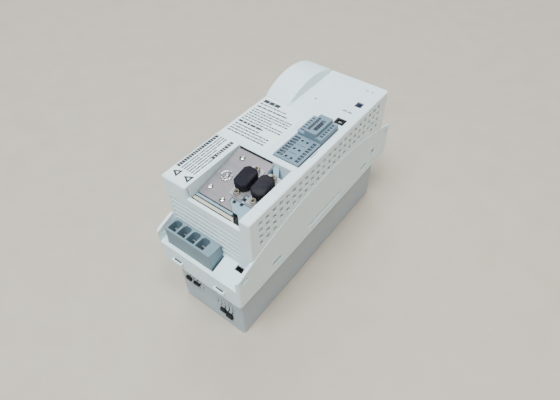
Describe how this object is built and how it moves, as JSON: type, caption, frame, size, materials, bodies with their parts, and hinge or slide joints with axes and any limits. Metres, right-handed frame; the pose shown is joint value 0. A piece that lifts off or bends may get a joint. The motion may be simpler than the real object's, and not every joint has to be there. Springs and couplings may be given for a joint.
{
  "type": "servo drive",
  "caption": "Slim cabinet servo drive: vented white casing in tiers, sloping D-sub recess, plug-in terminals, domed fieldbus cover and fan-cooled base.",
  "frame": {"origin": "middle of the flat back that the drive lies on", "axes": "+Z out of the front panel, +Y along the length to the fieldbus end, +X to the control terminal side"},
  "size_m": [0.0886, 0.2456, 0.1584],
  "materials": {
    "cover_white": "fine moulded texture",
    "housing_white": "fine moulded texture",
    "base_white": "fine moulded texture",
    "terminal_grey": "satin moulded",
    "control_grey": "satin moulded",
    "carrier_plastic": "satin moulded",
    "black_plastic": "satin moulded",
    "cap_plastic": "soft matt",
    "navy_plastic": "satin moulded",
    "lever_white": "gloss",
    "lever_blue": "satin moulded",
    "gasket_foam": "closed-cell foam",
    "clear_plastic": "clear moulded",
    "plate_steel": "rolled sheet",
    "screw_steel": "bright plated",
    "brass": "nickelled brass",
    "tin": "tinned contact",
    "sink_aluminium": "extruded",
    "board_green": "solder mask",
    "label_film": "printed film",
    "can_sleeve": "shrink sleeve",
    "copper_winding": "enamelled wire"
  },
  "bodies": {
    "drive": {"base_housing": "base_white", "rear_housing": "housing_white", "front_cover": "cover_white", "fieldbus_header": "black_plastic", "shield_plate": "plate_steel", "plate_screws": "screw_steel", "connector_carrier": "carrier_plastic", "edge_gasket": "gasket_foam", "corner_seal": "black_plastic", "encoder_connector": "tin", "resolver_connector": "tin", "jack_screws": "brass", "control_header": "control_grey", "motor_header": "terminal_grey", "motor_blades": "tin", "bus_header": "terminal_grey", "bus_blades": "tin", "brake_header": "black_plastic", "sync_socket": "black_plastic", "sync_insert": "lever_white", "dip_switch": "navy_plastic", "light_pipes": "clear_plastic", "status_leds": "lever_white", "nameplate": "label_film", "notice_label": "label_film", "power_board": "board_green", "control_board": "board_green", "indicator_board": "board_green", "board_spacers": "brass", "board_screws": "screw_steel", "control_chips": "black_plastic", "board_link": "black_plastic", "link_capacitors": "can_sleeve", "line_choke": "copper_winding", "supply_transformer": "copper_winding", "current_sensors": "black_plastic", "brake_relay": "black_plastic", "power_module": "black_plastic", "module_screws": "screw_steel", "heat_sink": "sink_aluminium", "sink_screws": "screw_steel", "fan_frame": "black_plastic", "fan_clips": "black_plastic"},
    "fan": {"fan_rotor": "black_plastic"},
    "encoder_dust_cap": {"encoder_cap": "cap_plastic"},
    "resolver_dust_cap": {"resolver_cap": "cap_plastic"},
    "bulge_cover": {"fieldbus_cover": "cover_white"},
    "terminal_plug": {"control_plug": "control_grey"},
    "raised_plug": {"tall_plug": "control_grey"},
    "lever_1": {"dip_lever_1": "lever_blue"},
    "lever_2": {"dip_lever_2": "lever_blue"}
  },
  "joints": [
    {"name": "fan_spin", "type": "hinge", "parent": "drive", "child": "fan", "pos_m": [0, -0.0973, 0.0319], "axis": [0, 1, 0], "continuous": true},
    {"name": "encoder_cap_pull", "type": "slide", "parent": "drive", "child": "encoder_dust_cap", "axis": [0, -0.1994, 0.9799], "range_m": [0, 0.014]},
    {"name": "resolver_cap_pull", "type": "slide", "parent": "drive", "child": "resolver_dust_cap", "axis": [0, -0.1994, 0.9799], "range_m": [0, 0.014]},
    {"name": "bulge_cover_lift", "type": "slide", "parent": "drive", "child": "bulge_cover", "axis": [0, 0, 1], "range_m": [0, 0.025]},
    {"name": "terminal_plug_pull", "type": "slide", "parent": "drive", "child": "terminal_plug", "axis": [0, 0, 1], "range_m": [0, 0.02]},
    {"name": "raised_plug_pull", "type": "slide", "parent": "drive", "child": "raised_plug", "axis": [0, 0, 1], "range_m": [0, 0.02]},
    {"name": "lever_1_slide", "type": "slide", "parent": "drive", "child": "lever_1", "axis": [1, 0, 0], "range_m": [0, 0.0016]},
    {"name": "lever_2_slide", "type": "slide", "parent": "drive", "child": "lever_2", "axis": [1, 0, 0], "range_m": [0, 0.0016]}
  ]
}
